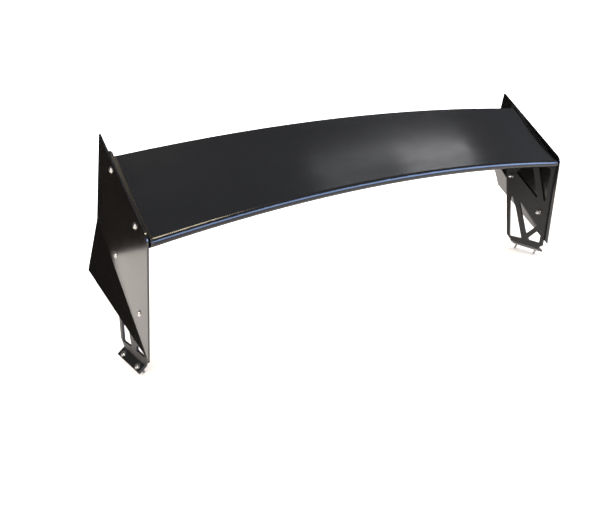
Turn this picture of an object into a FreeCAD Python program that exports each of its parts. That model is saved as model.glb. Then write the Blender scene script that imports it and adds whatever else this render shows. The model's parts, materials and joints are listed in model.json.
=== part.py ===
import FreeCAD, Part
import Sketcher
import math
import os

# Raised rear wing for a car's roof spoiler: a swept, arched, hollow blade between two pairs
# of sheet plates. Each side has an upright that carries the load down to a folded foot, and
# a bent endplate outside it. +X is to the right, +Y to the rear, +Z up. The origin is under
# the middle of the wing's outline, level with the tips of the foot screws.

Vector = FreeCAD.Vector

os.makedirs("parts", exist_ok=True)
doc = FreeCAD.newDocument("rear_wing")
sizes = doc.addObject("Spreadsheet::Sheet", "Sizes")

# name: (value in millimetres or degrees, what it is)
DIMENSIONS = {
    # blade, at its ends; the nose is a round, the two faces are arcs tangent to it
    "blade_half": (562.0, "half length of the blade skins"),
    "nose_y": (-100.0, "centre of the nose round at the blade's end"),
    "nose_z": (259.0, "height of the nose round at the blade's end"),
    "nose_radius": (10.0, "radius of the nose"),
    "edge_y": (34.0, "upper trailing edge at the blade's end"),
    "edge_z": (386.0, "height of the trailing edge at the blade's end"),
    "edge_depth": (4.2, "thickness of the trailing edge"),
    "edge_slope": (45.7, "slope of the upper face at the trailing edge, degrees"),
    "top_radius": (1000.0, "hollow of the upper face"),
    "under_radius": (270.0, "belly of the lower face"),
    "blade_sweep": (14.0, "how far the middle stands behind the ends"),
    "nose_arch": (30.0, "how far the nose rises to the middle"),
    "edge_arch": (22.7, "how far the trailing edge rises to the middle"),
    "skin": (2.0, "thickness of the blade skins"),
    "seam_angle": (176.0, "where the two skins meet round the nose, degrees"),
    "seam_gap": (2.5, "width of the seam round the nose, degrees"),
    "core_inset": (2.8, "inner pieces inside the outer faces"),
    "core_setback": (42.0, "inner pieces end this far before the trailing edge"),
    "core_top_slope": (44.3, "mean slope of the upper face over the setback, degrees"),
    "core_under_slope": (61.0, "mean slope of the lower face over the setback, degrees"),
    "rib_thick": (4.0, "thickness of a rib"),
    "rib_pitch": (281.0, "distance between ribs"),
    "spar_width": (6.0, "width of the spar, a flat bar on edge"),
    "spar_depth": (12.0, "depth of the spar"),
    "spar_clearance": (0.5, "room round the spar in a rib"),
    "spar_back": (32.0, "spar behind the nose round's centre"),
    "spar_rise": (19.0, "spar above the nose round's centre"),
    "spar_half": (551.0, "half length of the spar"),
    # end ribs, uprights and endplates, from the inside outwards
    "end_rib_thick": (5.0, "thickness of the blade's end ribs"),
    "spigot_length": (10.0, "part of an end rib that enters the skins"),
    "lug_reach": (8.5, "the end rib's lug round the rear blade bolt"),
    "lug_top": (16.0, "top of the lug above the bolt, under the trailing edge"),
    "lug_front": (20.0, "front of the lug before the bolt, inside the blade"),
    "lug_drop": (14.0, "front of the lug below the bolt"),
    "lug_under": (10.0, "underside of the lug below the bolt"),
    "upright_thick": (5.0, "thickness of the uprights"),
    "endplate_thick": (3.0, "thickness of the endplates"),
    # endplate outline
    "tip_y": (76.0, "rear top tip"),
    "tip_z": (423.0, "height of the rear top tip"),
    "corner_y": (-111.5, "front corner before rounding"),
    "corner_z": (271.0, "height of the front corner before rounding"),
    "corner_round": (24.0, "radius of the front corner"),
    "point_y": (-94.0, "bottom point"),
    "point_z": (39.5, "height of the bottom point"),
    "fold_y": (110.6, "rear end of the fold"),
    "fold_z": (256.0, "height of the fold's rear end"),
    "fold_angle": (26.5, "how far the lower corner is bent outwards, degrees"),
    "flap_along": (218.5, "lower corner along the fold from the bottom point"),
    "flap_out": (65.0, "lower corner away from the fold"),
    "plate_round": (1.5, "radius of the plates' other corners"),
    # upright outline
    "front_top_y": (-101.5, "front edge, top"),
    "front_top_z": (249.0, "height of the front edge's top"),
    "front_low_y": (-83.0, "front edge, bottom"),
    "front_low_z": (31.0, "height of the front edge's bottom"),
    "toe_y": (-73.0, "front end of the fold of the foot"),
    "heel_y": (19.0, "rear end of the fold of the foot"),
    "rear_low_y": (32.0, "rear edge, bottom"),
    "rear_low_z": (36.0, "height of the rear edge's bottom"),
    "rear_top_y": (46.0, "rear edge, top"),
    "rear_bend_z": (200.0, "height where the rear edge becomes upright"),
    "crest_z": (394.0, "height of the upright's top"),
    "crest_y": (36.0, "front end of the upright's level top"),
    "crown_y": (-4.0, "middle of the upright's top edge"),
    "crown_z": (349.0, "height of the middle of the top edge"),
    "brow_y": (-97.0, "front end of the upright's top edge"),
    "brow_z": (266.0, "height of the front end of the top edge"),
    "window_round": (2.5, "radius of the window corners"),
    # foot
    "foot_z": (24.62, "height where the foot's fold starts"),
    "foot_round": (3.0, "inner radius of the foot's fold"),
    "foot_slope": (38.0, "slope of the foot below level, degrees"),
    "foot_width": (16.5, "flat width of the foot"),
    "foot_screw_front": (-58.0, "front foot screw"),
    "foot_screw_rear": (3.0, "rear foot screw"),
    # bolts
    "bolt_rear_y": (28.5, "rear blade bolt and rear stand bolt"),
    "bolt_front_y": (-65.0, "front blade bolt and front stand bolt"),
    "blade_bolt_rear_z": (363.0, "height of the rear blade bolt"),
    "blade_bolt_front_z": (281.0, "height of the front blade bolt"),
    "stand_bolt_rear_z": (202.5, "height of the rear stand bolt"),
    "stand_bolt_front_z": (120.5, "height of the front stand bolt"),
    "bolt_radius": (3.0, "M6 thread"),
    "hole_radius": (3.25, "clearance hole for M6"),
    "bolt_chamfer": (0.7, "end of a thread"),
    "neck_radius": (3.2, "plain neck under a foot screw's head"),
    "head_radius": (5.25, "button head"),
    "head_height": (3.3, "button head"),
    "head_top": (2.6, "radius of the button head's level top"),
    "head_shoulder": (4.2, "radius of the button head where it rounds over"),
    "shoulder_height": (2.7, "height of that shoulder"),
    "flange_radius": (6.8, "flange under the button head"),
    "flange_height": (0.9, "flange under the button head"),
    "flange_edge": (0.3, "rounded edge of the flange"),
    "socket_flats": (4.0, "hexagon socket across flats"),
    "socket_depth": (2.0, "hexagon socket"),
    "blade_bolt_length": (16.0, "blade bolt under its head"),
    "stand_bolt_length": (16.0, "stand bolt under its head"),
    "foot_screw_length": (20.0, "foot screw under its head"),
    "washer_radius": (6.0, "washer, outside"),
    "washer_thick": (1.6, "washer"),
    "nut_flats": (10.0, "dome nut across flats"),
    "nut_height": (5.0, "dome nut, hexagon part"),
    "dome_radius": (4.75, "dome nut, dome"),
    "dome_bore": (2.0, "dome nut, thread inside the dome"),
}
for row, (name, (value, meaning)) in enumerate(DIMENSIONS.items(), start=1):
    sizes.set("A%d" % row, name)
    sizes.set("B%d" % row, str(value))
    sizes.set("C%d" % row, meaning)
    sizes.setAlias("B%d" % row, name)
doc.recompute()


def size(name):
    """The sheet's number for a name."""
    return float(sizes.get(name))


def cell(name):
    """The name as an expression writes it."""
    return "Sizes." + name


# ---------------------------------------------------------------- sketches and features

def new_body(label):
    body = doc.addObject("PartDesign::Body", label)
    body.Label = label
    return body


def origin_plane(body, role):
    for feature in body.Origin.OriginFeatures:
        if feature.Role == role:
            return feature


def new_sketch(body, name, role="YZ_Plane", lift=None):
    """A sketch on a plane of the body's origin, lifted along the plane's normal."""
    sketch = body.newObject("Sketcher::SketchObject", name)
    sketch.AttachmentSupport = [(origin_plane(body, role), "")]
    sketch.MapMode = "FlatFace"
    if lift:
        sketch.setExpression("AttachmentOffset.Base.z", lift)
    return sketch


def fix(sketch, kind, first, value, expression):
    """A dimension of one curve, or of one point from the origin, tied to the sheet."""
    if kind in ("DistanceX", "DistanceY"):
        constraint = Sketcher.Constraint(kind, -1, 1, first[0], first[1], value)
    else:
        constraint = Sketcher.Constraint(kind, first, value)
    index = sketch.addConstraint(constraint)
    sketch.setExpression("Constraints[%d]" % index, expression)


def fix_point(sketch, curve, end, place, expressions):
    fix(sketch, "DistanceX", (curve, end), place[0], expressions[0])
    fix(sketch, "DistanceY", (curve, end), place[1], expressions[1])


holder = doc.addObject("Spreadsheet::Sheet", "Scratch")


def evaluate(expression):
    """The value of an expression of sheet names, for a sketch's first shape."""
    words = expression
    for name in sorted(DIMENSIONS, key=len, reverse=True):
        words = words.replace(cell(name), repr(size(name)))
    holder.set("A1", "=" + words)
    holder.recompute()
    return float(holder.get("A1"))


def add_polygon(sketch, corners):
    """A closed polygon. Each corner is a pair of expressions."""
    places = [(evaluate(across), evaluate(up)) for across, up in corners]
    first = sketch.GeometryCount
    count = len(corners)
    for index in range(count):
        start = Vector(places[index][0], places[index][1], 0)
        end_place = places[(index + 1) % count]
        end = Vector(end_place[0], end_place[1], 0)
        sketch.addGeometry(Part.LineSegment(start, end))
    for index in range(count):
        following = first + (index + 1) % count
        sketch.addConstraint(Sketcher.Constraint("Coincident", first + index, 2, following, 1))
    for index, corner in enumerate(corners):
        fix_point(sketch, first + index, 1, places[index], corner)


def add_circle(sketch, centre, radius):
    place = (evaluate(centre[0]), evaluate(centre[1]))
    circle = Part.Circle(Vector(place[0], place[1], 0), Vector(0, 0, 1), evaluate(radius))
    index = sketch.addGeometry(circle)
    fix_point(sketch, index, 3, place, centre)
    fix(sketch, "Radius", index, evaluate(radius), radius)


def add_hexagon(sketch, flats):
    """A hexagon about the sketch's origin, from its width across the flats."""
    corners = []
    for index in range(6):
        across = "%s / sqrt(3) * cos(%d deg)" % (flats, 60 * index)
        up = "%s / sqrt(3) * sin(%d deg)" % (flats, 60 * index)
        corners.append((across, up))
    add_polygon(sketch, corners)


def pad(body, sketch, name, length, backwards=False):
    feature = body.newObject("PartDesign::Pad", name)
    feature.Profile = sketch
    feature.Reversed = backwards
    feature.setExpression("Length", length)
    body.Tip = feature
    doc.recompute()
    return feature


def pocket(body, sketch, name, length, backwards=False):
    """A pocket that has to take material away."""
    before = body.Shape.Volume
    feature = body.newObject("PartDesign::Pocket", name)
    feature.Profile = sketch
    feature.Reversed = backwards
    feature.setExpression("Length", length)
    body.Tip = feature
    doc.recompute()
    if body.Shape.Volume > before - 0.01:
        raise RuntimeError("%s cuts nothing" % name)
    return feature


def revolve(body, sketch, name, axis):
    feature = body.newObject("PartDesign::Revolution", name)
    feature.Profile = sketch
    feature.ReferenceAxis = (sketch, [axis])
    feature.Angle = 360.0
    body.Tip = feature
    doc.recompute()
    return feature


def round_edges(body, name, wanted, radius):
    """Rounds every edge of the body that the test accepts."""
    base = body.Tip
    names = []
    for index, edge in enumerate(base.Shape.Edges, start=1):
        if wanted(edge):
            names.append("Edge%d" % index)
    if not names:
        raise RuntimeError("%s finds no edge" % name)
    feature = body.newObject("PartDesign::Fillet", name)
    feature.Base = (base, names)
    feature.setExpression("Radius", radius)
    body.Tip = feature
    doc.recompute()
    return feature


def runs_along(edge, axis):
    """Whether a straight edge runs along an axis."""
    if edge.Curve.TypeId != "Part::GeomLine":
        return False
    return abs(edge.Curve.Direction.dot(axis)) > 0.9999


def near(edge, across, up, reach=1.0):
    """Whether an edge's middle lies at a place of the side view."""
    middle = edge.BoundBox.Center
    return abs(middle.y - across) < reach and abs(middle.z - up) < reach


# ---------------------------------------------------------------- blade section

def bowed(name, rise, fraction):
    """A blade coordinate at a fraction of the half length: an arc bows it to the middle."""
    return "%s + %s * (1 - %.4f ^ 2)" % (cell(name), cell(rise), fraction)


def section_names(fraction):
    """Expressions of the nose's centre and the trailing edge's two corners at a station."""
    nose = (bowed("nose_y", "blade_sweep", fraction), bowed("nose_z", "nose_arch", fraction))
    edge = (bowed("edge_y", "blade_sweep", fraction), bowed("edge_z", "edge_arch", fraction))
    slope = cell("edge_slope") + " * 1 deg"
    depth = cell("edge_depth")
    under = (
        "%s + %s * sin(%s)" % (edge[0], depth, slope),
        "%s - %s * cos(%s)" % (edge[1], depth, slope),
    )
    return nose, edge, under


def place_of(pair):
    return Vector(evaluate(pair[0]), evaluate(pair[1]), 0)


def centre_above(first, second, first_reach, second_reach):
    """The point at two distances from two points, on the upper side of their line."""
    line = second - first
    span = line.Length
    along = (first_reach ** 2 - second_reach ** 2 + span ** 2) / (2 * span)
    aside = math.sqrt(first_reach ** 2 - along ** 2)
    unit = line / span
    return first + unit * along + Vector(-unit.y, unit.x, 0) * aside


def angle_at(centre, point):
    return math.atan2(point.y - centre.y, point.x - centre.x)


def add_arc(sketch, centre, radius, start, end):
    """An arc, counter-clockwise from one angle to another. Returns its number."""
    while end < start:
        end += 2 * math.pi
    circle = Part.Circle(centre, Vector(0, 0, 1), radius)
    return sketch.addGeometry(Part.ArcOfCircle(circle, start, end))


def add_aerofoil(sketch, fraction, inset=None):
    """The blade's closed section: upper arc, nose, lower arc, blunt trailing edge.

    With an inset it is the section of the cavity, which ends before the trailing edge.
    """
    nose_names, edge_names, under_names = section_names(fraction)
    nose_radius = cell("nose_radius")
    if inset:
        nose_radius += " - " + inset
        slope = cell("core_top_slope") + " * 1 deg"
        back = cell("core_setback")
        edge_names = (
            "%s - %s * cos(%s) + %s * sin(%s)" % (edge_names[0], back, slope, inset, slope),
            "%s - %s * sin(%s) - %s * cos(%s)" % (edge_names[1], back, slope, inset, slope),
        )
        slope_under = cell("core_under_slope") + " * 1 deg"
        under_names = (
            "%s - %s * cos(%s) - %s * sin(%s)"
            % (under_names[0], back, slope_under, inset, slope_under),
            "%s - %s * sin(%s) + %s * cos(%s)"
            % (under_names[1], back, slope_under, inset, slope_under),
        )
    nose = place_of(nose_names)
    edge = place_of(edge_names)
    under = place_of(under_names)
    radius = evaluate(nose_radius)
    top_radius = size("top_radius")
    under_radius = size("under_radius")
    top_centre = centre_above(nose, edge, top_radius + radius, top_radius)
    under_centre = centre_above(nose, under, under_radius - radius, under_radius)
    top_start = angle_at(top_centre, nose)
    under_start = angle_at(under_centre, nose)
    top = add_arc(sketch, top_centre, top_radius, top_start, angle_at(top_centre, edge))
    round_start = angle_at(nose, top_centre)
    front = add_arc(sketch, nose, radius, round_start, under_start)
    belly = add_arc(sketch, under_centre, under_radius, under_start, angle_at(under_centre, under))
    back = sketch.addGeometry(Part.LineSegment(under, edge))
    sketch.addConstraint(Sketcher.Constraint("Tangent", top, 1, front, 1))
    sketch.addConstraint(Sketcher.Constraint("Tangent", front, 2, belly, 1))
    sketch.addConstraint(Sketcher.Constraint("Coincident", belly, 2, back, 1))
    sketch.addConstraint(Sketcher.Constraint("Coincident", back, 2, top, 2))
    fix(sketch, "Radius", top, top_radius, cell("top_radius"))
    fix(sketch, "Radius", front, radius, nose_radius)
    fix(sketch, "Radius", belly, under_radius, cell("under_radius"))
    fix_point(sketch, front, 3, (nose.x, nose.y), nose_names)
    fix_point(sketch, back, 2, (edge.x, edge.y), edge_names)
    fix_point(sketch, back, 1, (under.x, under.y), under_names)


def add_skin_section(sketch, fraction, upper):
    """One skin's closed section: outer face and nose, the seam, and the same face inside."""
    nose_names, edge_names, under_names = section_names(fraction)
    nose = place_of(nose_names)
    radius = size("nose_radius")
    skin = size("skin")
    seam = math.radians(size("seam_angle"))
    if upper:
        face_radius = size("top_radius")
        face_expression = cell("top_radius")
        outside = 1.0
        seam_expression = cell("seam_angle") + " * 1 deg"
    else:
        edge_names = under_names
        face_radius = size("under_radius")
        face_expression = cell("under_radius")
        outside = -1.0
        seam += math.radians(size("seam_gap"))
        seam_expression = "(%s + %s) * 1 deg" % (cell("seam_angle"), cell("seam_gap"))
    edge = place_of(edge_names)
    centre = centre_above(nose, edge, face_radius + outside * radius, face_radius)
    face_start = angle_at(centre, nose)
    face_end = angle_at(centre, edge)
    inner_face = face_radius + outside * skin
    inner_edge = centre + (edge - centre) * (inner_face / face_radius)
    seam_way = Vector(math.cos(seam), math.sin(seam), 0)
    face = add_arc(sketch, centre, face_radius, face_start, face_end)
    inside = add_arc(sketch, centre, inner_face, face_start, face_end)
    if upper:
        turn = (angle_at(nose, centre), seam)
        face_side, seam_side = 1, 2
    else:
        turn = (seam, face_start)
        face_side, seam_side = 2, 1
    front = add_arc(sketch, nose, radius, turn[0], turn[1])
    front_inside = add_arc(sketch, nose, radius - skin, turn[0], turn[1])
    outer_seam = nose + seam_way * radius
    inner_seam = nose + seam_way * (radius - skin)
    joint = sketch.addGeometry(Part.LineSegment(inner_seam, outer_seam))
    back = sketch.addGeometry(Part.LineSegment(edge, inner_edge))
    sketch.addConstraint(Sketcher.Constraint("Tangent", face, 1, front, face_side))
    sketch.addConstraint(Sketcher.Constraint("Tangent", inside, 1, front_inside, face_side))
    sketch.addConstraint(Sketcher.Constraint("Coincident", joint, 1, front_inside, seam_side))
    sketch.addConstraint(Sketcher.Constraint("Coincident", joint, 2, front, seam_side))
    sketch.addConstraint(Sketcher.Constraint("Coincident", back, 1, face, 2))
    sketch.addConstraint(Sketcher.Constraint("Coincident", back, 2, inside, 2))
    sketch.addConstraint(Sketcher.Constraint("Coincident", front_inside, 3, front, 3))
    sketch.addConstraint(Sketcher.Constraint("Coincident", inside, 3, face, 3))
    sketch.addConstraint(Sketcher.Constraint("PointOnObject", front, 3, joint))
    sketch.addConstraint(Sketcher.Constraint("PointOnObject", face, 3, back))
    fix(sketch, "Radius", face, face_radius, face_expression)
    fix(sketch, "Radius", front, radius, cell("nose_radius"))
    fix(sketch, "Radius", front_inside, radius - skin, "%s - %s" % (cell("nose_radius"), cell("skin")))
    fix(sketch, "Angle", joint, seam, seam_expression)
    fix_point(sketch, front, 3, (nose.x, nose.y), nose_names)
    fix_point(sketch, back, 1, (edge.x, edge.y), edge_names)


STATIONS = (-1.0, -0.5, 0.0, 0.5, 1.0)


def loft_along_blade(body, half, draw):
    """A smooth loft through the same section drawn at five stations along the blade."""
    sections = []
    for index, fraction in enumerate(STATIONS):
        lift = "%s * %.4f" % (half, fraction)
        sketch = new_sketch(body, "%s_section_%d" % (body.Label, index), lift=lift)
        draw(sketch, fraction)
        sections.append(sketch)
    doc.recompute()
    feature = body.newObject("PartDesign::AdditiveLoft", body.Label + "_loft")
    feature.Profile = sections[0]
    feature.Sections = sections[1:]
    feature.Ruled = False
    body.Tip = feature
    doc.recompute()
    return feature


nodes = {}


def keep(name, piece):
    """Lists a finished piece under the name of its file."""
    piece.Label = name
    nodes[name] = piece


def keep_pair(name, right):
    """Keeps a right-hand piece and its mirror image on the left."""
    keep(name + "_right", right)
    left = doc.addObject("Part::Mirroring", name + "_left")
    left.Source = right
    left.Normal = (1, 0, 0)
    keep(name + "_left", left)


# ---------------------------------------------------------------- blade pieces

def make_skin(name, upper):
    body = new_body(name)
    loft_along_blade(body, cell("blade_half"), lambda sketch, at: add_skin_section(sketch, at, upper))
    keep(name, body)


def spar_place(fraction):
    nose_names = section_names(fraction)[0]
    return (
        "%s + %s" % (nose_names[0], cell("spar_back")),
        "%s + %s" % (nose_names[1], cell("spar_rise")),
    )


def spar_corners(fraction, clearance):
    """The spar's section, grown by a clearance on every side."""
    middle = spar_place(fraction)
    half_width = "(%s / 2 + %s)" % (cell("spar_width"), clearance)
    half_depth = "(%s / 2 + %s)" % (cell("spar_depth"), clearance)
    corners = []
    for across, up in (("-", "-"), ("+", "-"), ("+", "+"), ("-", "+")):
        corners.append((
            "%s %s %s" % (middle[0], across, half_width),
            "%s %s %s" % (middle[1], up, half_depth),
        ))
    return corners


def make_spar():
    """A flat bar on edge that follows the blade's bow, through every rib."""
    body = new_body("blade_spar")

    def draw_bar(sketch, fraction):
        add_polygon(sketch, spar_corners(fraction, "0"))

    loft_along_blade(body, cell("spar_half"), draw_bar)
    keep("blade_spar", body)


def make_rib(name, count):
    """A flat rib that fits inside the skins, with a slot for the spar. count is in rib pitches."""
    body = new_body(name)
    fraction = count * size("rib_pitch") / size("blade_half")
    lift = "%s * %d - %s / 2" % (cell("rib_pitch"), count, cell("rib_thick"))
    outline = new_sketch(body, name + "_outline", lift=lift)
    add_aerofoil(outline, fraction, cell("core_inset"))
    pad(body, outline, name + "_plate", cell("rib_thick"))
    slot = new_sketch(body, name + "_spar_slot", lift=lift)
    add_polygon(slot, spar_corners(fraction, cell("spar_clearance")))
    pocket(body, slot, name + "_slot", cell("rib_thick"), backwards=True)
    keep(name, body)


def make_end_rib():
    """The plate that closes the blade's end, with a spigot in the skins and a lug under it.

    The two blade bolts screw into it: the front one into the spigot, the rear one into the lug.
    """
    body = new_body("blade_end_rib_right")
    face = new_sketch(body, "end_rib_outline", lift=cell("blade_half"))
    add_aerofoil(face, 1.0)
    pad(body, face, "end_rib_plate", cell("end_rib_thick"))
    spigot = new_sketch(body, "end_rib_spigot_outline", lift=cell("blade_half"))
    add_aerofoil(spigot, 1.0, cell("core_inset"))
    pad(body, spigot, "end_rib_spigot", cell("spigot_length"), backwards=True)
    lug = new_sketch(body, "end_rib_lug_outline", lift=cell("blade_half"))
    rear, rise = cell("bolt_rear_y"), cell("blade_bolt_rear_z")
    reach, under = cell("lug_reach"), cell("lug_under")
    add_polygon(lug, [
        (rear + " + " + reach, rise + " + " + cell("lug_top")),
        (rear + " - " + cell("lug_front"), rise + " - " + cell("lug_drop")),
        (rear + " - " + reach, rise + " - " + under),
        (rear + " + " + reach + " / 2", rise + " - " + under),
        (rear + " + " + reach, rise + " - " + reach + " / 2"),
    ])
    pad(body, lug, "end_rib_lug", cell("end_rib_thick"))
    holes = new_sketch(body, "end_rib_holes", lift=END_RIB_OUT)
    for across, up in BLADE_BOLTS:
        add_circle(holes, (across, up), cell("bolt_radius"))
    depth = "%s + %s" % (cell("end_rib_thick"), cell("spigot_length"))
    pocket(body, holes, "end_rib_bores", depth)
    keep_pair("blade_end_rib", body)


# ---------------------------------------------------------------- side plates

BLADE_BOLTS = [
    (cell("bolt_rear_y"), cell("blade_bolt_rear_z")),
    (cell("bolt_front_y"), cell("blade_bolt_front_z")),
]
STAND_BOLTS = [
    (cell("bolt_rear_y"), cell("stand_bolt_rear_z")),
    (cell("bolt_front_y"), cell("stand_bolt_front_z")),
]
END_RIB_OUT = "(%s + %s)" % (cell("blade_half"), cell("end_rib_thick"))
UPRIGHT_OUT = "(%s + %s)" % (END_RIB_OUT, cell("upright_thick"))
ENDPLATE_OUT = "(%s + %s)" % (UPRIGHT_OUT, cell("endplate_thick"))

# The windows leave a truss: two upper ones under the blade, a diagonal bar that carries the
# stand bolts, and three lower ones. Corners are (y, z) in millimetres.
WINDOWS = [
    [(16.0, 214.0), (-58.0, 154.0), (-38.0, 232.0), (-16.0, 254.0)],
    [(-80.2, 141.0), (-91.0, 240.0), (-72.0, 256.0), (-51.0, 250.0)],
    [(26.0, 148.0), (29.5, 135.0), (22.5, 33.0), (-17.0, 35.5), (7.5, 113.5), (20.5, 143.5)],
    [(0.5, 140.0), (-64.0, 83.5), (-29.0, 51.5)],
    [(-71.5, 74.5), (-77.0, 69.5), (-73.0, 36.5), (-39.0, 36.5), (-36.0, 41.0)],
]


def in_millimetres(corner):
    return ("%.1f" % corner[0], "%.1f" % corner[1])


def make_upright():
    """A sheet with truss windows, and a foot folded outwards along its bottom edge."""
    body = new_body("upright_right")
    outline = new_sketch(body, "upright_outline", lift=END_RIB_OUT)
    add_polygon(outline, [
        (cell("front_top_y"), cell("front_top_z")),
        (cell("front_low_y"), cell("front_low_z")),
        (cell("toe_y"), cell("foot_z")),
        (cell("heel_y"), cell("foot_z")),
        (cell("rear_low_y"), cell("rear_low_z")),
        (cell("rear_top_y"), cell("rear_bend_z")),
        (cell("rear_top_y"), cell("crest_z")),
        (cell("crest_y"), cell("crest_z")),
        (cell("crown_y"), cell("crown_z")),
        (cell("brow_y"), cell("brow_z")),
    ])
    pad(body, outline, "upright_sheet", cell("upright_thick"))
    x_axis = Vector(1, 0, 0)
    for window, corners in enumerate(WINDOWS, start=1):
        sketch = new_sketch(body, "window_%d" % window, lift=END_RIB_OUT)
        add_polygon(sketch, [in_millimetres(corner) for corner in corners])
        pocket(body, sketch, "window_cut_%d" % window, cell("upright_thick"), backwards=True)

    def in_window(edge):
        if not runs_along(edge, x_axis):
            return False
        return any(near(edge, corner[0], corner[1]) for corners in WINDOWS for corner in corners)

    round_edges(body, "window_corners", in_window, cell("window_round"))

    def on_outline(edge):
        places = [("front_top_y", "front_top_z"), ("brow_y", "brow_z"), ("crown_y", "crown_z"),
                  ("rear_top_y", "rear_bend_z"), ("rear_low_y", "rear_low_z"),
                  ("front_low_y", "front_low_z")]
        if not runs_along(edge, x_axis):
            return False
        return any(near(edge, size(across), size(up)) for across, up in places)

    round_edges(body, "outline_corners", on_outline, cell("plate_round"))
    add_foot(body)
    holes = new_sketch(body, "upright_holes", lift=END_RIB_OUT)
    for across, up in BLADE_BOLTS + STAND_BOLTS:
        add_circle(holes, (across, up), cell("hole_radius"))
    pocket(body, holes, "upright_bores", cell("upright_thick"), backwards=True)
    add_foot_holes(body)
    keep_pair("upright", body)


def add_foot(body):
    """The folded foot: a bend and a flat that slopes down and outwards."""
    section = new_sketch(body, "foot_section", role="XZ_Plane", lift="-(%s)" % cell("heel_y"))
    start_x = evaluate(END_RIB_OUT)
    thick = size("upright_thick")
    inner = size("foot_round")
    outer = inner + thick
    slope = math.radians(size("foot_slope"))
    centre = Vector(start_x + outer, size("foot_z"), 0)
    normal = Vector(-math.sin(slope), -math.cos(slope), 0)
    along = Vector(math.cos(slope), -math.sin(slope), 0) * size("foot_width")
    low = centre + normal * outer
    high = centre + normal * inner
    begin = math.pi
    finish = math.pi + math.pi / 2 - slope
    bend_out = add_arc(section, centre, outer, begin, finish)
    bend_in = add_arc(section, centre, inner, begin, finish)
    under = section.addGeometry(Part.LineSegment(low, low + along))
    end = section.addGeometry(Part.LineSegment(low + along, high + along))
    over = section.addGeometry(Part.LineSegment(high + along, high))
    top = section.addGeometry(Part.LineSegment(centre - Vector(inner, 0, 0), centre - Vector(outer, 0, 0)))
    section.addConstraint(Sketcher.Constraint("Tangent", bend_out, 2, under, 1))
    section.addConstraint(Sketcher.Constraint("Coincident", under, 2, end, 1))
    section.addConstraint(Sketcher.Constraint("Coincident", end, 2, over, 1))
    section.addConstraint(Sketcher.Constraint("Tangent", over, 2, bend_in, 2))
    section.addConstraint(Sketcher.Constraint("Coincident", bend_in, 1, top, 1))
    section.addConstraint(Sketcher.Constraint("Coincident", top, 2, bend_out, 1))
    section.addConstraint(Sketcher.Constraint("Coincident", bend_in, 3, bend_out, 3))
    section.addConstraint(Sketcher.Constraint("Horizontal", top))
    section.addConstraint(Sketcher.Constraint("Perpendicular", under, end))
    fix(section, "Radius", bend_in, inner, cell("foot_round"))
    outer_radius = "%s + %s" % (cell("foot_round"), cell("upright_thick"))
    fix(section, "Radius", bend_out, outer, outer_radius)
    fix(section, "Distance", under, size("foot_width"), cell("foot_width"))
    fix(section, "Angle", under, -slope, "-%s * 1 deg" % cell("foot_slope"))
    fix_point(section, top, 2, (start_x, size("foot_z")), (END_RIB_OUT, cell("foot_z")))
    length = "%s - %s" % (cell("heel_y"), cell("toe_y"))
    pad(body, section, "foot", length)


def foot_frame(across):
    """Where a foot screw meets the foot's lower face, and which way its thread points."""
    slope = math.radians(size("foot_slope"))
    outer = size("foot_round") + size("upright_thick")
    normal = Vector(-math.sin(slope), 0, -math.cos(slope))
    along = Vector(math.cos(slope), 0, -math.sin(slope))
    centre = Vector(evaluate(END_RIB_OUT) + outer, size(across), size("foot_z"))
    return centre + normal * outer + along * (size("foot_width") * 0.5), normal


def add_foot_holes(body):
    """Clearance holes square to the sloping foot."""
    for across in ("foot_screw_front", "foot_screw_rear"):
        place, normal = foot_frame(across)
        sketch = body.newObject("Sketcher::SketchObject", across + "_hole")
        sketch.AttachmentSupport = [(origin_plane(body, "XY_Plane"), "")]
        sketch.MapMode = "FlatFace"
        turn = FreeCAD.Rotation(Vector(0, 0, -1), normal)
        sketch.AttachmentOffset = FreeCAD.Placement(place, turn)
        add_circle(sketch, ("0", "0"), cell("hole_radius"))
        depth = cell("upright_thick") + " * 2"
        before = body.Shape.Volume
        feature = body.newObject("PartDesign::Pocket", across + "_bore")
        feature.Profile = sketch
        feature.Midplane = True
        feature.setExpression("Length", depth)
        body.Tip = feature
        doc.recompute()
        if body.Shape.Volume > before - 50:
            raise RuntimeError(across + " hole cuts nothing")


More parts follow.
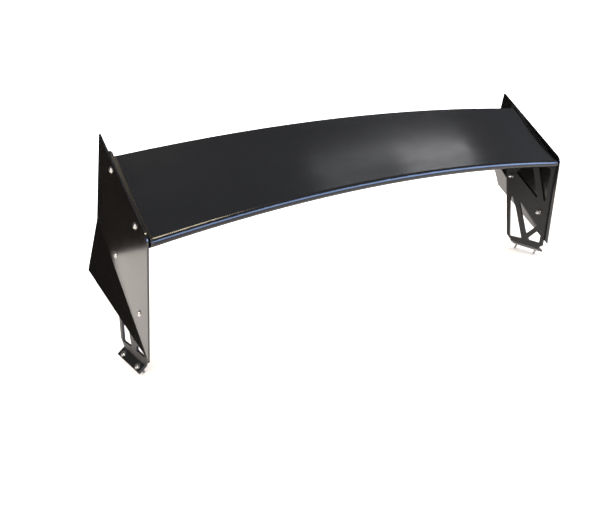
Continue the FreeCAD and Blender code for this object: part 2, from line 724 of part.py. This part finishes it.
def make_endplate():
    """A flat sheet whose lower rear corner is bent outwards along a diagonal fold."""
    body = new_body("endplate_right")
    outline = new_sketch(body, "endplate_outline", lift=UPRIGHT_OUT)
    point = (cell("point_y"), cell("point_z"))
    fold = (cell("fold_y"), cell("fold_z"))
    tip = (cell("tip_y"), cell("tip_z"))
    corner = (cell("corner_y"), cell("corner_z"))
    add_polygon(outline, [tip, corner, point, fold])
    for across, up in BLADE_BOLTS + STAND_BOLTS:
        add_circle(outline, (across, up), cell("hole_radius"))
    pad(body, outline, "endplate_sheet", cell("endplate_thick"))

    # the flap's plane holds the fold and leans outwards below it
    across = size("fold_y") - size("point_y")
    rise = size("fold_z") - size("point_z")
    fold_direction = math.degrees(math.atan2(rise, across))
    flap = new_sketch(body, "endplate_flap_outline")
    about_normal = FreeCAD.Rotation(Vector(0, 0, 1), fold_direction)
    about_fold = FreeCAD.Rotation(Vector(1, 0, 0), -size("fold_angle"))
    start = Vector(size("point_y"), size("point_z"), evaluate(UPRIGHT_OUT))
    flap.AttachmentOffset = FreeCAD.Placement(start, about_normal.multiply(about_fold))
    flap.setExpression("AttachmentOffset.Base.x", point[0])
    flap.setExpression("AttachmentOffset.Base.y", point[1])
    flap.setExpression("AttachmentOffset.Base.z", UPRIGHT_OUT)
    length = "sqrt((%s - %s) ^ 2 + (%s - %s) ^ 2)" % (fold[0], point[0], fold[1], point[1])
    add_polygon(flap, [("0", "0"), (length, "0"), (cell("flap_along"), "-" + cell("flap_out"))])
    pad(body, flap, "endplate_flap", cell("endplate_thick"))

    x_axis = Vector(1, 0, 0)

    def at_front(edge):
        return runs_along(edge, x_axis) and near(edge, size("corner_y"), size("corner_z"))

    def at_tip(edge):
        return runs_along(edge, x_axis) and near(edge, size("tip_y"), size("tip_z"))

    round_edges(body, "endplate_front_corner", at_front, cell("corner_round"))
    round_edges(body, "endplate_tip", at_tip, cell("plate_round"))
    keep_pair("endplate", body)


# ---------------------------------------------------------------- fasteners

def make_button_bolt(name, length, neck=None):
    """A flanged button head bolt along X: the head outwards, the thread towards -X.

    neck is the length of a plain neck, a little thicker than the thread, under the head.
    """
    body = new_body(name)
    outline = new_sketch(body, name + "_outline", role="XZ_Plane")
    head, flange = cell("head_height"), cell("flange_height")
    shank, chamfer = cell("bolt_radius"), cell("bolt_chamfer")
    corners = [
        ("-(%s)" % length, "0"),
        (head, "0"),
        (head, cell("head_top")),
        (cell("shoulder_height"), cell("head_shoulder")),
        (flange, cell("head_radius")),
        (flange, cell("flange_radius") + " - " + cell("flange_edge")),
        (cell("flange_edge"), cell("flange_radius")),
        ("0", cell("flange_radius")),
    ]
    if neck:
        corners.append(("0", cell("neck_radius")))
        corners.append(("-(%s)" % neck, cell("neck_radius")))
        corners.append(("-(%s)" % neck, shank))
    else:
        corners.append(("0", shank))
    corners.append(("-(%s) + %s" % (length, chamfer), shank))
    corners.append(("-(%s)" % length, shank + " - " + chamfer))
    add_polygon(outline, corners)
    revolve(body, outline, name + "_turned", "H_Axis")
    socket = new_sketch(body, name + "_socket", lift=head)
    add_hexagon(socket, cell("socket_flats"))
    pocket(body, socket, name + "_hexagon", cell("socket_depth"))
    return body


def put_along_x(piece, x, y, z):
    piece.setExpression("Placement.Base.x", x)
    piece.setExpression("Placement.Base.y", y)
    piece.setExpression("Placement.Base.z", z)


def group(name, pieces):
    """Several identical pieces in one node."""
    compound = doc.addObject("Part::Compound", name)
    compound.Links = pieces
    return compound


def make_bolts(name, places, length):
    pieces = []
    for index, (across, up) in enumerate(places, start=1):
        bolt = make_button_bolt("%s_%d" % (name, index), length)
        put_along_x(bolt, ENDPLATE_OUT, across, up)
        pieces.append(bolt)
    keep_pair(name, group(name + "_right", pieces))


def make_washers():
    """Washers between the upright and the dome nuts."""
    pieces = []
    for index, (across, up) in enumerate(STAND_BOLTS, start=1):
        body = new_body("washer_%d" % index)
        ring = new_sketch(body, "washer_outline_%d" % index)
        add_circle(ring, ("0", "0"), cell("washer_radius"))
        add_circle(ring, ("0", "0"), cell("hole_radius"))
        pad(body, ring, "washer_ring_%d" % index, cell("washer_thick"), backwards=True)
        put_along_x(body, END_RIB_OUT, across, up)
        pieces.append(body)
    keep_pair("stand_washers", group("stand_washers_right", pieces))


def make_dome_nuts():
    """Dome nuts on the inner ends of the stand bolts."""
    pieces = []
    for index, (across, up) in enumerate(STAND_BOLTS, start=1):
        body = new_body("dome_nut_%d" % index)
        hexagon = new_sketch(body, "nut_outline_%d" % index)
        add_hexagon(hexagon, cell("nut_flats"))
        pad(body, hexagon, "nut_hexagon_%d" % index, cell("nut_height"), backwards=True)
        dome = new_sketch(body, "dome_outline_%d" % index, role="XZ_Plane")
        radius = evaluate(cell("dome_radius"))
        start = evaluate("-(%s)" % cell("nut_height"))
        arc = add_arc(dome, Vector(start, 0, 0), radius, math.pi / 2, math.pi)
        down = dome.addGeometry(Part.LineSegment(Vector(start, radius, 0), Vector(start, 0, 0)))
        base = dome.addGeometry(Part.LineSegment(Vector(start, 0, 0), Vector(start - radius, 0, 0)))
        dome.addConstraint(Sketcher.Constraint("Coincident", arc, 1, down, 1))
        dome.addConstraint(Sketcher.Constraint("Coincident", down, 2, base, 1))
        dome.addConstraint(Sketcher.Constraint("Coincident", base, 2, arc, 2))
        dome.addConstraint(Sketcher.Constraint("Coincident", arc, 3, base, 1))
        dome.addConstraint(Sketcher.Constraint("Vertical", down))
        dome.addConstraint(Sketcher.Constraint("Horizontal", base))
        fix(dome, "Radius", arc, radius, cell("dome_radius"))
        fix_point(dome, base, 1, (start, 0.0), ("-(%s)" % cell("nut_height"), "0"))
        revolve(body, dome, "dome_turned_%d" % index, "H_Axis")
        bore = new_sketch(body, "nut_bore_outline_%d" % index)
        add_circle(bore, ("0", "0"), cell("bolt_radius"))
        depth = "%s + %s" % (cell("nut_height"), cell("dome_bore"))
        pocket(body, bore, "nut_bore_%d" % index, depth)
        put_along_x(body, "%s - %s" % (END_RIB_OUT, cell("washer_thick")), across, up)
        pieces.append(body)
    keep_pair("stand_dome_nuts", group("stand_dome_nuts_right", pieces))


def make_foot_screws():
    """Button head screws square to the foot, with their threads standing out below it."""
    pieces = []
    for index, across in enumerate(("foot_screw_front", "foot_screw_rear"), start=1):
        name = "foot_screw_%d" % index
        screw = make_button_bolt(name, cell("foot_screw_length"), cell("upright_thick"))
        place, normal = foot_frame(across)
        head = place - normal * size("upright_thick")
        screw.Placement = FreeCAD.Placement(head, FreeCAD.Rotation(Vector(-1, 0, 0), normal))
        pieces.append(screw)
    keep_pair("foot_screws", group("foot_screws_right", pieces))


# ---------------------------------------------------------------- build, check, write

make_skin("blade_upper_skin", True)
make_skin("blade_lower_skin", False)
make_spar()
make_rib("blade_rib_left", -1)
make_rib("blade_rib_middle", 0)
make_rib("blade_rib_right", 1)
make_end_rib()
make_upright()
make_endplate()
make_bolts("blade_bolts", BLADE_BOLTS, cell("blade_bolt_length"))
make_bolts("stand_bolts", STAND_BOLTS, cell("stand_bolt_length"))
make_washers()
make_dome_nuts()
make_foot_screws()
doc.recompute()

for item in doc.Objects:
    if "Invalid" in item.State or "Error" in item.State:
        raise RuntimeError("%s failed: %s" % (item.Name, item.State))
for name, piece in nodes.items():
    if piece.Shape.isNull() or not piece.Shape.isValid():
        raise RuntimeError("%s has no valid shape" % name)
for name, piece in nodes.items():
    piece.Shape.exportStep("parts/%s.step" % name)
    box = piece.Shape.optimalBoundingBox()
    extent = (box.XMin, box.XMax, box.YMin, box.YMax, box.ZMin, box.ZMax)
    print(name, len(piece.Shape.Solids), "solids", " ".join("%.2f" % value for value in extent))
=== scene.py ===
import json
import math

import bmesh
import bpy
from mathutils import Matrix, Vector


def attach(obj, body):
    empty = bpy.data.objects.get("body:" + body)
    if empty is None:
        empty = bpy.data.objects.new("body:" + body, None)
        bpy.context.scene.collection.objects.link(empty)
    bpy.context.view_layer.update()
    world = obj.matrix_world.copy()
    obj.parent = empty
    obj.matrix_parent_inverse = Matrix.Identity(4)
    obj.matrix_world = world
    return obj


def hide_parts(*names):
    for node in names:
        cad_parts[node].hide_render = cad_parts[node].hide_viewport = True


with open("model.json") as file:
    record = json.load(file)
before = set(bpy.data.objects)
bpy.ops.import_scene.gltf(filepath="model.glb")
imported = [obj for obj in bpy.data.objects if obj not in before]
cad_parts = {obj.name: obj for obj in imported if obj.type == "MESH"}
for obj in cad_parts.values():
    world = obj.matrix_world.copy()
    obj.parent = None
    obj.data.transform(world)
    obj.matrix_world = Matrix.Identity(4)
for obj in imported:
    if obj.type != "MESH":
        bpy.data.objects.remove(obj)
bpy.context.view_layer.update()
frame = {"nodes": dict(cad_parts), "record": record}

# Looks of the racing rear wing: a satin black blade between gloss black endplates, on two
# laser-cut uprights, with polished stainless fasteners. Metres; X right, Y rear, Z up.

NODES = frame["nodes"]
BODY = "root"
SIDES = ("right", "left")

# Carried-over nodes: vertices closer than this are one, and folds sharper than this are rounded
WELD_DISTANCE = 0.000002
SHARP_ANGLE = math.radians(20)
ROUND_SEGMENTS = 2

# Foot screws, M6, along their own axis: 0 at the head's seat, minus towards the tip.
# HEAD_OUTLINE is (height, radius) from the neck out over the flange to the head's level top.
THREAD_RADIUS = 0.0030
THREAD_DEPTH = 0.00050
THREAD_PITCH = 0.0010
GROOVE_HALF_WIDTH = 0.42
SCREW_LENGTH = 0.0200
NECK_LENGTH = 0.0050
TIP_CHAMFER = 0.0007
HEAD_OUTLINE = [
    (0.0000, 0.0032), (0.0000, 0.0066), (0.0003, 0.0068), (0.0006, 0.0068), (0.0009, 0.0065),
    (0.0009, 0.00525), (0.0018, 0.0048), (0.0027, 0.0042), (0.0031, 0.0034), (0.0033, 0.0026),
]
UNDERCUT = 0.00001
SOCKET_CORNER_RADIUS = 0.0023
SOCKET_FLOOR = 0.0013
SHARP_RIDGE = math.radians(32)
STEPS_ROUND = 36
RINGS_PER_TURN = 8


# ---------------------------------------------------------------- materials

class Nodes:
    """A material's node tree, with short calls for the nodes that the finishes are made of."""

    def __init__(self, name):
        self.material = bpy.data.materials.new(name)
        self.material.use_nodes = True
        self.tree = self.material.node_tree
        self.shader = self.tree.nodes["Principled BSDF"]
        coords = self.tree.nodes.new("ShaderNodeTexCoord")
        self.place = coords.outputs["Object"]

    def link(self, out_socket, in_socket):
        self.tree.links.new(out_socket, in_socket)

    def set(self, **values):
        for name, value in values.items():
            self.shader.inputs[name.replace("_", " ")].default_value = value

    def stretched(self, scale):
        mapping = self.tree.nodes.new("ShaderNodeMapping")
        mapping.inputs["Scale"].default_value = scale
        self.link(self.place, mapping.inputs["Vector"])
        return mapping.outputs["Vector"]

    def noise(self, scale, detail=3.0, roughness=0.5, place=None):
        node = self.tree.nodes.new("ShaderNodeTexNoise")
        node.inputs["Scale"].default_value = scale
        node.inputs["Detail"].default_value = detail
        node.inputs["Roughness"].default_value = roughness
        self.link(place or self.place, node.inputs["Vector"])
        return node.outputs["Fac"]

    def cells(self, scale):
        node = self.tree.nodes.new("ShaderNodeTexVoronoi")
        node.inputs["Scale"].default_value = scale
        self.link(self.place, node.inputs["Vector"])
        return node.outputs["Distance"]

    def ramp(self, source, stops):
        """stops is a list of (position, grey or rgb)."""
        node = self.tree.nodes.new("ShaderNodeValToRGB")
        elements = node.color_ramp.elements
        while len(elements) < len(stops):
            elements.new(0.5)
        for element, (position, colour) in zip(elements, stops):
            element.position = position
            if isinstance(colour, (int, float)):
                colour = (colour, colour, colour)
            element.color = (*colour, 1.0)
        self.link(source, node.inputs["Fac"])
        return node.outputs["Color"]

    def span(self, source, low, high, start=0.3, end=0.7):
        node = self.tree.nodes.new("ShaderNodeMapRange")
        node.inputs["From Min"].default_value = start
        node.inputs["From Max"].default_value = end
        node.inputs["To Min"].default_value = low
        node.inputs["To Max"].default_value = high
        self.link(source, node.inputs["Value"])
        return node.outputs["Result"]

    def mix(self, factor, colour_a, colour_b):
        node = self.tree.nodes.new("ShaderNodeMix")
        node.data_type = "RGBA"
        self.link(factor, node.inputs["Factor"])
        for socket, colour in ((node.inputs[6], colour_a), (node.inputs[7], colour_b)):
            if isinstance(colour, tuple):
                socket.default_value = (*colour, 1.0)
            else:
                self.link(colour, socket)
        return node.outputs[2]

    def edges(self, radius, wear_scale):
        """1 on worn edges and 0 on flats.

        An edge is where the rounded normal leaves the true one, broken up by noise.
        """
        rounded = self.tree.nodes.new("ShaderNodeBevel")
        rounded.samples = 4
        rounded.inputs["Radius"].default_value = radius
        geometry = self.tree.nodes.new("ShaderNodeNewGeometry")
        dot = self.tree.nodes.new("ShaderNodeVectorMath")
        dot.operation = "DOT_PRODUCT"
        self.link(rounded.outputs["Normal"], dot.inputs[0])
        self.link(geometry.outputs["Normal"], dot.inputs[1])
        turned = self.span(dot.outputs["Value"], 1.0, 0.0, 0.80, 0.99)
        broken = self.span(self.noise(wear_scale, 4.0, 0.6), 0.0, 1.0, 0.45, 0.62)
        product = self.tree.nodes.new("ShaderNodeMath")
        product.operation = "MULTIPLY"
        self.link(turned, product.inputs[0])
        self.link(broken, product.inputs[1])
        return product.outputs["Value"]

    def bump(self, height, strength, distance, below=None):
        node = self.tree.nodes.new("ShaderNodeBump")
        node.inputs["Strength"].default_value = strength
        node.inputs["Distance"].default_value = distance
        self.link(height, node.inputs["Height"])
        if below is not None:
            self.link(below, node.inputs["Normal"])
        self.link(node.outputs["Normal"], self.shader.inputs["Normal"])
        return node.outputs["Normal"]


def satin_black(name, specular):
    """Moulded blade skin: satin black with a fine orange peel, dust and a few handling smears."""
    m = Nodes(name)
    cloud = m.noise(7.0, 5.0, 0.55)
    dust = m.ramp(m.noise(1500.0, 2.0), [(0.0, 0.0), (0.72, 0.0), (0.80, 1.0)])
    body = m.ramp(cloud, [(0.3, (0.0030, 0.0031, 0.0035)), (0.7, (0.0044, 0.0045, 0.0050))])
    m.link(m.mix(dust, body, (0.05, 0.05, 0.052)), m.shader.inputs["Base Color"])
    smears = m.noise(28.0, 5.0, 0.6, m.stretched((0.35, 1.0, 1.0)))
    m.link(m.span(smears, 0.13, 0.17), m.shader.inputs["Roughness"])
    m.set(Specular_IOR_Level=specular)
    peel = m.bump(m.noise(620.0, 2.0), 0.08, 0.00012)
    m.bump(m.noise(95.0, 2.0), 0.04, 0.0004, peel)
    return m.material


def gloss_black():
    """Endplates: gloss black powder coat, with orange peel, hairline scratches and worn edges."""
    m = Nodes("gloss_black")
    cloud = m.noise(9.0, 4.0, 0.5)
    body = m.ramp(cloud, [(0.3, (0.0018, 0.0016, 0.0015)), (0.7, (0.0030, 0.0026, 0.0024))])
    worn = m.edges(0.0009, 260.0)
    m.link(m.mix(worn, body, (0.055, 0.053, 0.060)), m.shader.inputs["Base Color"])
    scratches = m.noise(420.0, 2.0, 0.5, m.stretched((1.0, 1.0, 0.03)))
    fine = m.ramp(scratches, [(0.0, 0.12), (0.64, 0.13), (0.72, 0.24)])
    smears = m.span(m.noise(16.0, 5.0, 0.6), 0.0, 1.0, 0.35, 0.7)
    m.link(m.mix(smears, fine, (0.17, 0.17, 0.17)), m.shader.inputs["Roughness"])
    m.set(Specular_IOR_Level=0.5, Coat_Weight=0.6, Coat_Roughness=0.10)
    peel = m.bump(m.noise(260.0, 2.0), 0.06, 0.0003)
    m.bump(scratches, 0.02, 0.0001, peel)
    return m.material


def powder_coat():
    """Uprights: fine-textured satin powder coat, rubbed to bare grey at a few edges."""
    m = Nodes("powder_coat")
    cloud = m.noise(14.0, 4.0, 0.55)
    body = m.ramp(cloud, [(0.3, (0.0034, 0.0031, 0.0032)), (0.7, (0.0052, 0.0048, 0.0049))])
    worn = m.edges(0.0008, 340.0)
    m.link(m.mix(worn, body, (0.085, 0.083, 0.082)), m.shader.inputs["Base Color"])
    grain = m.noise(1400.0, 3.0, 0.6)
    m.link(m.span(grain, 0.38, 0.52), m.shader.inputs["Roughness"])
    m.set(Specular_IOR_Level=0.5)
    fine = m.bump(m.cells(1250.0), 0.22, 0.00018)
    m.bump(grain, 0.25, 0.0001, fine)
    return m.material


def stainless():
    """Fasteners: polished stainless, with fine turning marks and faint stains."""
    m = Nodes("polished_stainless")
    stain = m.noise(420.0, 4.0, 0.6)
    body = m.ramp(stain, [(0.3, (0.52, 0.505, 0.48)), (0.65, (0.66, 0.65, 0.63))])
    m.link(body, m.shader.inputs["Base Color"])
    m.set(Metallic=1.0)
    marks = m.noise(5200.0, 2.0, 0.5, m.stretched((0.15, 1.0, 1.0)))
    m.link(m.span(marks, 0.14, 0.30), m.shader.inputs["Roughness"])
    m.bump(marks, 0.12, 0.00004)
    return m.material


def mill_aluminium(name, tone, rough_low, rough_high):
    """Ribs, spar and end ribs: aluminium with a rolling grain along the blade and small dents."""
    m = Nodes(name)
    grain = m.noise(900.0, 3.0, 0.6, m.stretched((0.05, 1.0, 1.0)))
    light = tuple(min(1.0, c * 1.2) for c in tone)
    m.link(m.ramp(grain, [(0.3, tone), (0.7, light)]), m.shader.inputs["Base Color"])
    m.link(m.span(grain, rough_low, rough_high), m.shader.inputs["Roughness"])
    m.set(Metallic=1.0)
    lined = m.bump(grain, 0.15, 0.0001)
    m.bump(m.noise(60.0, 2.0), 0.08, 0.0005, lined)
    return m.material


# ---------------------------------------------------------------- carried-over nodes

def dress(node_name, material, edge_radius):
    """Gives a CAD node its material, and rounds its sharp edges unless edge_radius is 0."""
    node = NODES[node_name]
    for slot in node.material_slots:
        slot.link = "OBJECT"
        slot.material = material
    if edge_radius == 0:
        return
    weld = node.modifiers.new("weld", "WELD")
    weld.merge_threshold = WELD_DISTANCE
    rounding = node.modifiers.new("edges", "BEVEL")
    rounding.width = edge_radius
    rounding.segments = ROUND_SEGMENTS
    rounding.limit_method = "ANGLE"
    rounding.angle_limit = SHARP_ANGLE
    rounding.use_clamp_overlap = True
    shading = node.modifiers.new("shading", "WEIGHTED_NORMAL")
    shading.keep_sharp = False
    shading.weight = 60


def dress_all():
    satin = satin_black("satin_black", 0.5)
    satin_under = satin_black("satin_black_under", 0.3)
    gloss = gloss_black()
    powder = powder_coat()
    steel = stainless()
    inner = mill_aluminium("mill_aluminium", (0.60, 0.60, 0.61), 0.28, 0.42)
    anodised = mill_aluminium("dark_aluminium", (0.050, 0.048, 0.046), 0.26, 0.38)
    plan = [
        ("blade_upper_skin", satin, 0.0),
        ("blade_lower_skin", satin_under, 0.0),
        ("blade_spar", inner, 0.0003),
        ("blade_rib_left", inner, 0.0002),
        ("blade_rib_middle", inner, 0.0002),
        ("blade_rib_right", inner, 0.0002),
    ]
    for side in SIDES:
        plan.append(("blade_end_rib_" + side, anodised, 0.0003))
        plan.append(("upright_" + side, powder, 0.0004))
        plan.append(("endplate_" + side, gloss, 0.00035))
        plan.append(("blade_bolts_" + side, steel, 0.0))
        plan.append(("stand_bolts_" + side, steel, 0.0))
        plan.append(("stand_washers_" + side, steel, 0.0))
        plan.append(("stand_dome_nuts_" + side, steel, 0.0))
    for name, material, radius in plan:
        dress(name, material, radius)
    add_foot_screws(steel)


# ---------------------------------------------------------------- foot screws

def ring(shell, height, radii):
    """A ring of vertices round the Z axis at one height, with a radius for each."""
    count = len(radii)
    turns = [2 * math.pi * index / count for index in range(count)]
    return [shell.verts.new((r * math.cos(t), r * math.sin(t), height)) for t, r in zip(turns, radii)]


def skin_rings(shell, rings):
    """Joins each ring to the next with quads."""
    for below, above in zip(rings, rings[1:]):
        count = len(below)
        for index in range(count):
            after = (index + 1) % count
            shell.faces.new((below[index], below[after], above[after], above[index]))


def thread_radius(height, turn):
    """The thread's radius at a height and a part of a turn: a V-shaped groove up the shank."""
    phase = (height / THREAD_PITCH + turn) % 1.0
    groove = max(0.0, 1.0 - abs(phase - 0.5) / GROOVE_HALF_WIDTH)
    return THREAD_RADIUS - THREAD_DEPTH * groove


def screw_mesh(name):
    """A flanged button head screw up the Z axis: cut thread, plain neck, hexagon socket."""
    shell = bmesh.new()
    tip, neck = -SCREW_LENGTH, -NECK_LENGTH
    turns = [index / STEPS_ROUND for index in range(STEPS_ROUND)]
    rings = [ring(shell, tip, [THREAD_RADIUS - TIP_CHAMFER] * STEPS_ROUND)]
    height = tip + TIP_CHAMFER / 2
    while height < neck - THREAD_PITCH / RINGS_PER_TURN:
        limit = THREAD_RADIUS - TIP_CHAMFER + (height - tip)
        rings.append(ring(shell, height, [min(limit, thread_radius(height, t)) for t in turns]))
        height += THREAD_PITCH / RINGS_PER_TURN
    rings.append(ring(shell, neck, [THREAD_RADIUS] * STEPS_ROUND))
    rings.append(ring(shell, neck, [HEAD_OUTLINE[0][1]] * STEPS_ROUND))
    under_head = HEAD_OUTLINE[0][0] - UNDERCUT
    rings.append(ring(shell, under_head, [HEAD_OUTLINE[0][1]] * STEPS_ROUND))
    for up, radius in HEAD_OUTLINE[1:]:
        rings.append(ring(shell, up, [radius] * STEPS_ROUND))
    top = HEAD_OUTLINE[-1][0]
    sixth = math.pi / 3
    flat_radius = SOCKET_CORNER_RADIUS * math.cos(sixth / 2)
    asides = [(2 * math.pi * t) % sixth - sixth / 2 for t in turns]
    socket = [flat_radius / math.cos(aside) for aside in asides]
    rings.append(ring(shell, top, socket))
    rings.append(ring(shell, SOCKET_FLOOR, socket))
    skin_rings(shell, rings)
    shell.faces.new(list(reversed(rings[0])))
    shell.faces.new(rings[-1])
    bmesh.ops.recalc_face_normals(shell, faces=shell.faces)
    for face in shell.faces:
        face.smooth = True
    mesh = bpy.data.meshes.new(name)
    shell.to_mesh(mesh)
    shell.free()
    mesh.set_sharp_from_angle(angle=SHARP_RIDGE)
    return mesh


def add_foot_screws(steel):
    """Threaded screws in place of the plain ones, at the mounts of the record."""
    for mount in frame["record"]["mounts"]:
        if mount["kind"] != "pin":
            continue
        axis = Vector(mount["axis"]).normalized()
        half_pin = mount["dims"]["length_mm"] / 2000
        seat = Vector(mount["pos_m"]) - axis * (SCREW_LENGTH - TIP_CHAMFER - half_pin)
        turn = axis.to_track_quat("-Z", "Y").to_matrix().to_4x4()
        mesh = screw_mesh(mount["name"])
        mesh.transform(Matrix.Translation(seat) @ turn)
        mesh.materials.append(steel)
        screw = bpy.data.objects.new(mount["name"], mesh)
        bpy.context.scene.collection.objects.link(screw)
        side = "right" if seat.x > 0 else "left"
        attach(screw, BODY)
        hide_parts("foot_screws_" + side)


# ---------------------------------------------------------------- stage

WORLD_STRENGTH = 2.4
ROOM_RADIUS = 12.0
ROOM_LEAN = math.radians(50)
ROOM_TONES = [(0.30, (0.030, 0.025, 0.022, 1.0)), (0.95, (0.25, 0.253, 0.265, 1.0))]

# Name, azimuth and elevation as for direction(), distance, (width, height), power, colour
LAMPS = [
    ("right_softbox", 89.0, 40.5, 3.0, (0.09, 0.50), 0.80, (0.98, 0.99, 1.0)),
    ("right_softbox_top", 90.0, 51.5, 3.0, (0.09, 0.64), 0.45, (0.98, 0.99, 1.0)),
    ("window", 150.0, 10.0, 3.2, (3.6, 0.9), 112.0, (0.40, 0.58, 1.0)),
    ("left_softbox", -112.0, 24.0, 3.0, (1.6, 1.4), 40.0, (1.0, 0.99, 0.97)),
    ("warm_ceiling_lamp", 150.0, 63.0, 2.9, (0.6, 0.40), 16.0, (1.0, 0.84, 0.60)),
]
LAMP_TARGET = Vector((0.0, 0.0, 0.3))


def add_floor():
    """A pale table top. It ends a little behind the wing, with a notch behind the blade.

    Past its edge the glossy surfaces reflect the dark of the room.
    """
    front, back, half = -2.4, 0.60, 2.6
    notch_back, notch_side, notch_end = 0.36, 0.42, 0.56
    mesh = bpy.data.meshes.new("floor")
    outline = [
        (-half, front), (half, front), (half, back), (notch_end, back), (notch_side, notch_back),
        (-notch_side, notch_back), (-notch_end, back), (-half, back),
    ]
    mesh.from_pydata([(x, y, 0) for x, y in outline], [], [tuple(range(len(outline)))])
    floor = bpy.data.objects.new("floor", mesh)
    bpy.context.scene.collection.objects.link(floor)
    m = Nodes("pale_floor")
    paper = m.ramp(m.noise(2.0, 3.0), [(0.0, (0.66, 0.61, 0.56)), (1.0, (0.69, 0.64, 0.59))])
    m.link(paper, m.shader.inputs["Base Color"])
    m.set(Roughness=0.9, Specular_IOR_Level=0.1)
    mesh.materials.append(m.material)


def direction(azimuth, elevation):
    """Azimuth 0 is +Y and 90 is +X; elevation is above the horizon. Degrees."""
    turn, rise = math.radians(azimuth), math.radians(elevation)
    return Vector((math.sin(turn) * math.cos(rise), math.cos(turn) * math.cos(rise), math.sin(rise)))


def add_softbox(name, azimuth, elevation, distance, size, power, colour):
    """A rectangular lamp that faces the wing. The camera doesn't see it."""
    data = bpy.data.lights.new(name, "AREA")
    data.shape = "RECTANGLE"
    data.size, data.size_y = size
    data.energy = power
    data.color = colour
    light = bpy.data.objects.new(name, data)
    light.location = LAMP_TARGET + direction(azimuth, elevation) * distance
    light.rotation_euler = (LAMP_TARGET - light.location).to_track_quat("-Z", "Y").to_euler()
    light.visible_camera = False
    bpy.context.scene.collection.objects.link(light)


def add_room():
    """The dim room that glossy surfaces reflect: nearly black to the left, paler up and right."""
    mesh = bpy.data.meshes.new("room")
    shell = bmesh.new()
    bmesh.ops.create_icosphere(shell, subdivisions=4, radius=ROOM_RADIUS)
    shell.to_mesh(mesh)
    shell.free()
    room = bpy.data.objects.new("room", mesh)
    bpy.context.scene.collection.objects.link(room)
    for rays in ("camera", "diffuse", "transmission", "volume_scatter", "shadow"):
        setattr(room, "visible_" + rays, False)
    material = bpy.data.materials.new("room_glow")
    material.use_nodes = True
    tree = material.node_tree
    tree.nodes.clear()
    coords = tree.nodes.new("ShaderNodeTexCoord")
    unit = tree.nodes.new("ShaderNodeVectorMath")
    unit.operation = "NORMALIZE"
    lean = tree.nodes.new("ShaderNodeMapping")
    lean.inputs["Rotation"].default_value = (0.0, ROOM_LEAN, 0.0)
    lean.inputs["Scale"].default_value = (0.5, 0.5, 0.5)
    lean.inputs["Location"].default_value = (0.5, 0.0, 0.0)
    gradient = tree.nodes.new("ShaderNodeTexGradient")
    ramp = tree.nodes.new("ShaderNodeValToRGB")
    for element, (position, colour) in zip(ramp.color_ramp.elements, ROOM_TONES):
        element.position = position
        element.color = colour
    glow = tree.nodes.new("ShaderNodeEmission")
    output = tree.nodes.new("ShaderNodeOutputMaterial")
    tree.links.new(coords.outputs["Object"], unit.inputs[0])
    tree.links.new(unit.outputs["Vector"], lean.inputs["Vector"])
    tree.links.new(lean.outputs["Vector"], gradient.inputs["Vector"])
    tree.links.new(gradient.outputs["Fac"], ramp.inputs["Fac"])
    tree.links.new(ramp.outputs["Color"], glow.inputs["Color"])
    tree.links.new(glow.outputs["Emission"], output.inputs["Surface"])
    mesh.materials.append(material)
    material.cycles.emission_sampling = "NONE"


def add_lights():
    """White light from all round, which glossy surfaces don't reflect, and the lamps."""
    world = bpy.data.worlds.new("studio")
    world.use_nodes = True
    background = world.node_tree.nodes["Background"]
    background.inputs["Color"].default_value = (1.0, 1.0, 1.0, 1.0)
    background.inputs["Strength"].default_value = WORLD_STRENGTH
    world.cycles_visibility.glossy = False
    bpy.context.scene.world = world
    for lamp in LAMPS:
        add_softbox(*lamp)


def add_camera():
    """The camera stands to the front left of the wing, a little above it, and looks slightly down."""
    yaw, pitch = math.radians(35.67), math.radians(13.14)
    data = bpy.data.cameras.new("camera")
    data.sensor_width = 36.0
    data.lens = 43.96
    data.shift_x = 0.0212
    data.shift_y = -0.131
    camera = bpy.data.objects.new("camera", data)
    camera.location = (-1.0658, -1.1971, 0.6408)
    camera.rotation_euler = (math.radians(90) - pitch, 0.0, -yaw)
    bpy.context.scene.collection.objects.link(camera)
    bpy.context.scene.camera = camera


bpy.context.scene.view_settings.view_transform = "Standard"
dress_all()
add_floor()
add_room()
add_lights()
add_camera()
